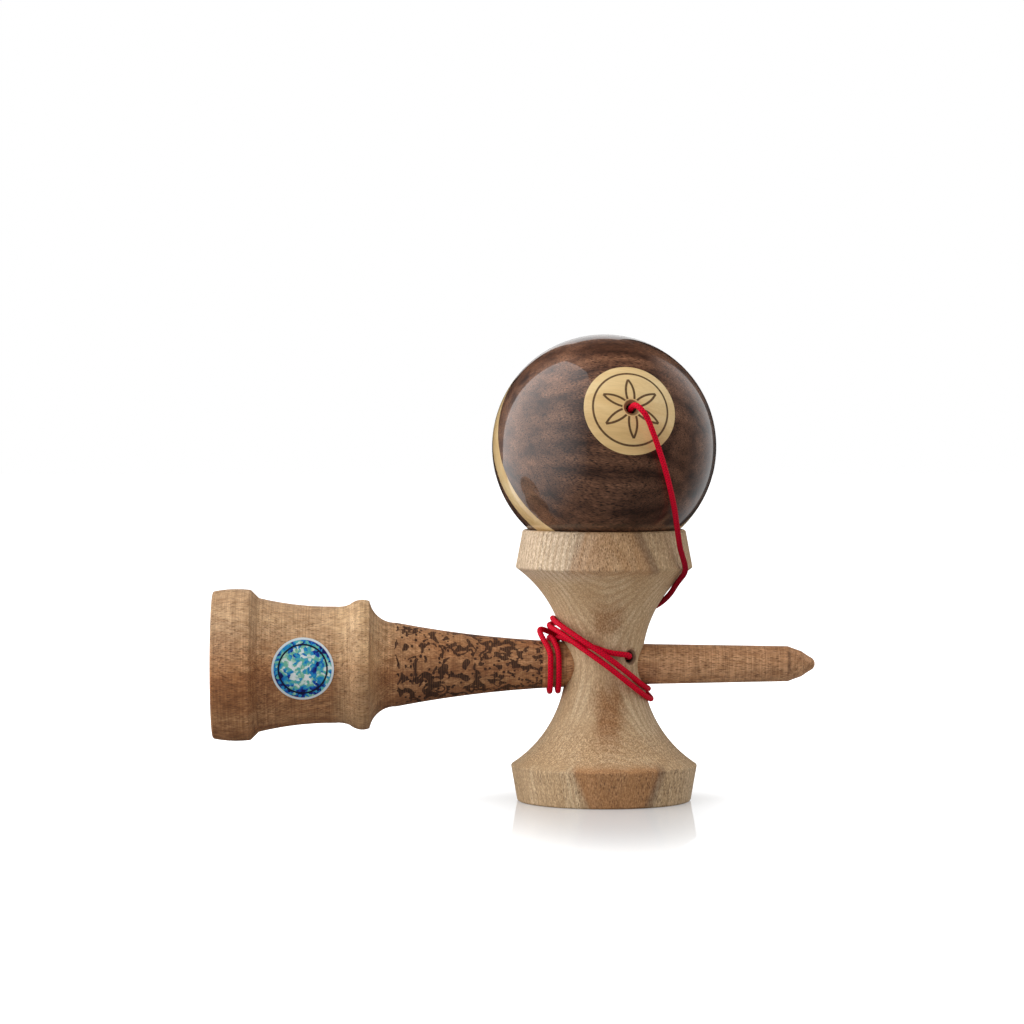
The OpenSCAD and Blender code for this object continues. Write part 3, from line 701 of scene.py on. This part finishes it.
def inlay_lines(t):
    """Burnt ring, six-petalled rosette and hole on the inlay, and their flat coordinates."""
    side = TAMA_AXIS.cross(Vector((0, 0, 1))).normalized() * -1
    up = TAMA_AXIS.cross(side) * -1
    at = t.vec("SUBTRACT", t.place(), tuple(TAMA_MID * MM))
    u, v, h = (t.vec("DOT_PRODUCT", at, tuple(way)) for way in (side, up, TAMA_AXIS))
    flat = t.join(u, v)

    def circle(distance, r, width):
        off = t.apart(distance, r * MM)
        return t.smooth(off, width * LINE_OUT * MM, width * LINE_IN * MM)

    d = t.vec("LENGTH", flat)
    petals = 0.0
    for k in range(PETALS):
        c, s = turn(360 / PETALS * (k + 0.5))
        middle = (c * PETAL_R * MM, s * PETAL_R * MM, 0)
        arc = circle(t.vec("DISTANCE", flat, middle), PETAL_R, PETAL_W)
        petals = t.larger(petals, arc)
    inside = t.times(t.math("LESS_THAN", d, ROSETTE_OUT * MM),
                     t.math("GREATER_THAN", d, ROSETTE_IN * MM))
    ink = t.larger(circle(d, INLAY_RING_R, INLAY_RING_W), t.times(petals, inside))
    ink = t.larger(ink, t.smooth(d, *HOLE_BURN, high=0.78))
    return t.times(ink, t.math("GREATER_THAN", h, INLAY_HEIGHT)), flat


def ball_pale_wood():
    t = Tree("ball_pale_wood")
    g = grain_space(t, GRAIN_OF_TAMA, (0, 0, TAMA_Z))
    bands = t.noise(t.stretched(g, 1, 1, 0.2), 120.0, detail=3.0, rough=0.6, warp=0.6)
    colour = t.ramp(bands, [(0.28, (0.58, 0.37, 0.15)), (0.5, (0.72, 0.50, 0.23)),
                            (0.72, (0.80, 0.61, 0.32))])
    fine = fibres(t, g, across=0.35, along=6.0)
    colour = t.tone(colour, 0.35, fine, [(0.3, (0.75, 0.7, 0.64)), (0.7, (1.12, 1.12, 1.12))])
    ink, flat = inlay_lines(t)
    burn = t.ramp(t.noise(flat, 1400.0), [(0.3, (0.028, 0.010, 0.004)),
                                          (0.75, (0.13, 0.052, 0.018))])
    colour = t.tint(colour, ink, 0.93, burn)
    return t.surface(Base_Color=colour, Roughness=0.36,
                     Normal=t.bump(t.minus(1.0, ink), strength=0.25, depth=0.0001),
                     Coat_Weight=1.0, Coat_Roughness=0.012, Coat_IOR=1.5)


def bead_wood():
    t = Tree("bead_wood")
    g = grain_space(t, GRAIN_OF_TAMA, (0, 0, TAMA_Z))
    fine = fibres(t, g, across=0.3, along=3.0)
    colour = t.ramp(fine, [(0.3, (0.48, 0.30, 0.14)), (0.7, (0.72, 0.52, 0.29))])
    return t.surface(Base_Color=colour, Roughness=0.5,
                     Normal=t.bump(fine, strength=0.2, depth=0.0001))


# String and sticker.
SHADED_RUN_Z = (0.050, 0.056), (0.094, 0.062)
STICKER_X = (-BASE_X + BASE_BAND_W + STICKER_W) * MM
STICKER_RING_R, STICKER_RING_EDGE = 0.0066, (0.00032, 0.00016)
STICKER_BORDER = (0.0078, 0.0080)
MARBLE_CLOUD, MARBLE_FACET, MARBLE_FALL = 0.66, 0.26, -24.0


def string_cloth():
    t = Tree("string_cloth")
    uv = t.node("ShaderNodeTexCoord").outputs["UV"]
    u, v, _ = t.split(uv)
    around, along = (t.times(c, math.pi * BRAID_CARRIERS) for c in (u, v))
    crossed = [t.math(op, around, along) for op in ("ADD", "SUBTRACT")]
    relief = t.larger(*(t.math("POWER", t.math("COSINE", c), 2.0) for c in crossed))
    # painted shade: darker in the grooves between the braid's strands
    colour = t.ramp(relief, [(0.25, (0.34, 0.0006, 0.011)), (0.62, (0.56, 0.0012, 0.020)),
                             (1.0, (0.70, 0.002, 0.027))])
    fuzz = t.noise(t.place(), 9000.0)
    colour = t.tone(colour, 0.25, fuzz, [(0.3, (0.6, 0.6, 0.6)), (0.7, (1.3, 1.3, 1.3))])
    # painted shade along the run past the cup's lip
    z = t.split(t.place())[2]
    dark = t.times(*(t.smooth(z, *end) for end in SHADED_RUN_Z))
    colour = t.tint(colour, dark, 0.80, (0.16, 0.0006, 0.009))
    return t.surface(Base_Color=colour, Roughness=0.62,
                     Normal=t.bump(t.line(fuzz, 0.4, relief), strength=0.35, depth=0.00008),
                     Specular_IOR_Level=0.08)


def foil():
    """Marbled foil, darker towards its edge, with a thin ring and a pale border."""
    t = Tree("foil")
    x, _, z = t.split(t.place())
    flat = t.join(t.minus(x, STICKER_X), t.minus(z, KEN_Z * MM))
    d = t.vec("LENGTH", flat)
    cloud = t.noise(flat, 240.0, warp=1.0)
    facet = t.split(t.cells(t.drift(flat, 600.0, by=0.0010), 1150.0)["Color"])
    shade = t.line(cloud, MARBLE_CLOUD, t.times(facet[0], MARBLE_FACET))
    shade = t.line(d, MARBLE_FALL, shade)
    colour = t.ramp(shade, [(0.14, (0.012, 0.008, 0.12)), (0.21, (0.012, 0.070, 0.46)),
                            (0.27, (0.02, 0.30, 0.66)), (0.33, (0.10, 0.50, 0.52)),
                            (0.38, (0.22, 0.56, 0.36)), (0.43, (0.66, 0.82, 0.78)),
                            (0.52, (0.90, 0.93, 0.94))])
    ring = t.smooth(t.apart(d, STICKER_RING_R), *STICKER_RING_EDGE)
    colour = t.mix(ring, colour, (0.010, 0.012, 0.035))
    colour = t.mix(t.smooth(d, *STICKER_BORDER), colour, (0.74, 0.80, 0.83))
    return t.surface(Base_Color=colour, Roughness=0.28, Metallic=0.25,
                     Coat_Weight=0.5, Coat_Roughness=0.08)


MATERIALS = {
    "ken": handle_wood(),
    "sarado": cup_wood(),
    "tama_front_cap": ball_dark_wood(),
    "tama_band": ball_pale_wood(),
    "bead": bead_wood(),
    "foil_sticker": foil(),
}
MATERIALS["tama_rear_cap"] = MATERIALS["tama_front_cap"]
MATERIALS["tama_inlay"] = MATERIALS["tama_band"]
for name, mat in MATERIALS.items():
    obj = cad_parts[name]
    for slot in obj.material_slots:
        slot.material = mat
    if not obj.material_slots:
        obj.data.materials.append(mat)
cloth = string_cloth()
for obj in [string] + knots:
    obj.data.materials.append(cloth)


# Studio, in metres: a pale glossy floor, soft lights, and cards that only reflections see.
FLOOR_SIZE, FLOOR_GREY, FLOOR_ROUGH = 8, (0.48, 0.48, 0.48), 0.04
DIM_FRONT, DIM_BACK, DIM_SIDE, DIM_EDGE = -0.5, 1.9, 2.2, (0.03, 0.125)
SHADOW_GLOW, FULL_GLOW = 0.33, 0.80
MIRROR_EDGE, MIRROR_SHARE = (0.015, 0.170), 0.42
WORLD_LIGHT, WORLD_SEEN = 0.22, 1.0


def make_floor():
    """White to the camera, with a painted contact shadow that dims it near the object, and mirroring
    near the object.
    """
    t = Tree("floor")
    at = t.place()
    x, y, _ = t.split(at)
    # painted contact shadow: the glow the camera sees is dimmer near the object, reaching further in
    # front than behind or to the sides
    depth = t.larger(t.times(y, DIM_FRONT), t.times(y, DIM_BACK))
    far = t.smooth(t.vec("LENGTH", t.join(t.times(x, DIM_SIDE), depth)), *DIM_EDGE)
    seen = t.node("ShaderNodeLightPath").outputs["Is Camera Ray"]
    light = t.glow(t.times(seen, t.line(far, FULL_GLOW, SHADOW_GLOW)))
    matte = t.node("ShaderNodeBsdfDiffuse", {"Color": FLOOR_GREY}).outputs[0]
    both = t.node("ShaderNodeAddShader", {0: matte, 1: light}).outputs[0]
    shine = t.node("ShaderNodeBsdfGlossy", {"Color": WHITE, "Roughness": FLOOR_ROUGH}).outputs[0]
    away = t.vec("LENGTH", t.stretched(at, 1, 1, 0))
    mirror = t.smooth(away, *MIRROR_EDGE, low=MIRROR_SHARE, high=0.0)
    mixed = t.node("ShaderNodeMixShader", {0: mirror, 1: both, 2: shine}).outputs[0]
    bpy.ops.mesh.primitive_plane_add(size=FLOOR_SIZE)
    floor = bpy.context.object
    floor.name = "floor"
    floor.visible_glossy = False
    floor.data.materials.append(t.finish(mixed))
    return floor


def make_world():
    """White where it is seen, dim where it lights the object."""
    world = bpy.data.worlds.new("studio")
    bpy.context.scene.world = world
    world.use_nodes = True
    nodes, links = world.node_tree.nodes, world.node_tree.links
    nodes.clear()
    path = nodes.new("ShaderNodeLightPath")
    seen = path.outputs["Is Camera Ray"]
    for ray in ("Is Glossy Ray", "Is Transmission Ray"):
        either = nodes.new("ShaderNodeMath")
        either.operation, either.use_clamp = "ADD", True
        links.new(seen, either.inputs[0])
        links.new(path.outputs[ray], either.inputs[1])
        seen = either.outputs[0]
    mixed = nodes.new("ShaderNodeMixShader")
    links.new(seen, mixed.inputs[0])
    for place, strength in ((1, WORLD_LIGHT), (2, WORLD_SEEN)):
        sky = nodes.new("ShaderNodeBackground")
        sky.inputs[0].default_value = (*WHITE, 1)
        sky.inputs[1].default_value = strength
        links.new(sky.outputs[0], mixed.inputs[place])
    out = nodes.new("ShaderNodeOutputWorld")
    links.new(mixed.outputs[0], out.inputs[0])


floor = make_floor()
make_world()


def panel(name, at, aim, wide, high, watts):
    """A soft light that isn't seen or mirrored."""
    data = bpy.data.lights.new(name, "AREA")
    data.shape, data.size, data.size_y = "RECTANGLE", wide, high
    data.energy = watts
    obj = add(name, data)
    obj.location = at
    obj.rotation_euler = facing(Vector(aim) - Vector(at))
    obj.visible_camera = False
    obj.visible_glossy = False


panel("soft_left", at=(-0.62, -0.45, 0.75), aim=(0.38, -0.45, 0.75), wide=2.2, high=1.45, watts=21)
panel("soft_right", at=(0.62, 0.0, 0.60), aim=(-0.38, 0.0, 0.60), wide=0.95, high=1.15, watts=3.5)
panel("soft_top", at=(0.0, -0.25, 1.5), aim=(0.0, -0.25, 0.0), wide=1.0, high=0.8, watts=8)


def receivers(name, state):
    """A light linking group that takes in the floor alone, or all but the floor."""
    group = bpy.data.collections.new(name)
    group.objects.link(floor)
    group.collection_objects[0].light_linking.link_state = state
    return group


floor_only = receivers("floor_only", "INCLUDE")
not_floor = receivers("not_floor", "EXCLUDE")


def card(name, corners, mat, lit=not_floor):
    """A flat card that only reflections see, and only those of the pieces in lit."""
    mesh = bpy.data.meshes.new(name)
    mesh.from_pydata(corners, [], [list(range(len(corners)))])
    mesh.materials.append(mat)
    obj = add(name, mesh)
    for ray in ("camera", "diffuse", "transmission", "volume_scatter", "shadow"):
        setattr(obj, "visible_" + ray, False)
    obj.light_linking.receiver_collection = lit


def rectangle(half, low, high):
    return [(-half, low), (half, low), (half, high), (-half, high)]


def x_card(name, x, outline, mat, lit=not_floor):
    card(name, [(x, y, z) for y, z in outline], mat, lit)


def y_card(name, y, outline, mat, lit=not_floor):
    card(name, [(x, y, z) for x, z in outline], mat, lit)


def z_card(name, z, outline, mat, lit=not_floor):
    card(name, [(x, y, z) for x, y in outline], mat, lit)


CARD_GLOW = 0.008
VEIL_FADE_Z, VEIL_FADE = (-1.0, 0.20), 0.05


def black():
    t = Tree("card")
    return t.finish(t.glow(CARD_GLOW))


def veil(name, front, back, dim, bright, top, end):
    """From dim at the front edge to bright at the back, weak below the floor, gone above end."""
    t = Tree(name)
    _, y, z = t.split(t.place())
    low = t.smooth(z, *VEIL_FADE_Z, low=VEIL_FADE)
    across = t.smooth(y, front, back, dim, bright)
    return t.finish(t.glow(t.times(t.times(across, low), t.smooth(z, end, top))))


def clear_white():
    """See-through, with a white glow."""
    t = Tree("clear_white")
    clear = t.node("ShaderNodeBsdfTransparent").outputs[0]
    return t.finish(t.node("ShaderNodeAddShader", {0: clear, 1: t.glow(1.0)}).outputs[0])


# Veils at the two sides, whose outlines show on the ball.
VEIL_X = 0.6
LEFT_OUTLINE = [(-1.59, -1.6), (0.90, -1.6), (0.63, -0.25), (0.47, 0.10), (0.68, 1.46),
                (-0.21, 2.64), (-1.59, 2.64)]
RIGHT_OUTLINE = [(-0.10, -0.5), (1.10, -0.5), (0.87, 0.10), (1.10, 1.3), (-0.10, 1.3)]
x_card("veil_left", -VEIL_X, LEFT_OUTLINE,
       veil("veil_left", front=-1.6, back=0.5, dim=0.24, bright=1.66, top=2.6, end=3.0))
x_card("veil_right", VEIL_X, RIGHT_OUTLINE,
       veil("veil_right", front=-0.1, back=0.8, dim=0.0, bright=0.8, top=0.3, end=1.3))

# A dark room of cards round the object, with a window in its back.
ROOM_HALF, ROOM_LOW, ROOM_HIGH = 2.5, -1.7, 3.2
ROOM_SIDE_X, ROOM_FRONT_Y, ROOM_BACK_Y = 2.0, -1.9, 1.6
WINDOW_HALF, WINDOW_LOW, WINDOW_HIGH = 0.24, 0.30, 1.15
dark_card = black()
wall = rectangle(ROOM_HALF, ROOM_LOW, ROOM_HIGH)
y_card("card_front", ROOM_FRONT_Y, wall, dark_card)
y_card("card_back_low", ROOM_BACK_Y, rectangle(ROOM_HALF, ROOM_LOW, WINDOW_LOW), dark_card)
for side, sign in (("left", -1), ("right", 1)):
    beside = [(sign * ROOM_HALF, WINDOW_LOW), (sign * WINDOW_HALF, WINDOW_LOW),
              (sign * WINDOW_HALF, WINDOW_HIGH), (sign * ROOM_HALF, WINDOW_HIGH)]
    y_card("card_back_" + side, ROOM_BACK_Y, beside, dark_card)
    x_card("card_" + side, sign * ROOM_SIDE_X, wall, dark_card)
y_card("card_back_high", ROOM_BACK_Y, rectangle(ROOM_HALF, WINDOW_HIGH, ROOM_HIGH), dark_card)
z_card("card_top", ROOM_HIGH, rectangle(ROOM_HALF, -ROOM_HALF, ROOM_HALF), dark_card)
z_card("card_low", ROOM_LOW, rectangle(ROOM_HALF, -ROOM_HALF, ROOM_HALF), dark_card)

# Clear white sheets that only the floor mirrors, so that it stays pale about the reflection.
SKY_X, SKY_Y, SKY_LOW, SKY_HIGH = 0.58, 1.55, -0.01, 2.5
sheet = clear_white()
for side, sign in (("left", -1), ("right", 1)):
    x_card("sky_" + side, sign * SKY_X, rectangle(SKY_Y, SKY_LOW, SKY_HIGH), sheet, floor_only)
for side, sign in (("front", -1), ("back", 1)):
    y_card("sky_" + side, sign * SKY_Y, rectangle(SKY_X, SKY_LOW, SKY_HIGH), sheet, floor_only)
z_card("sky_top", SKY_HIGH, rectangle(SKY_X, -SKY_Y, SKY_Y), sheet, floor_only)

scene = bpy.context.scene
scene.view_settings.view_transform = "Standard"
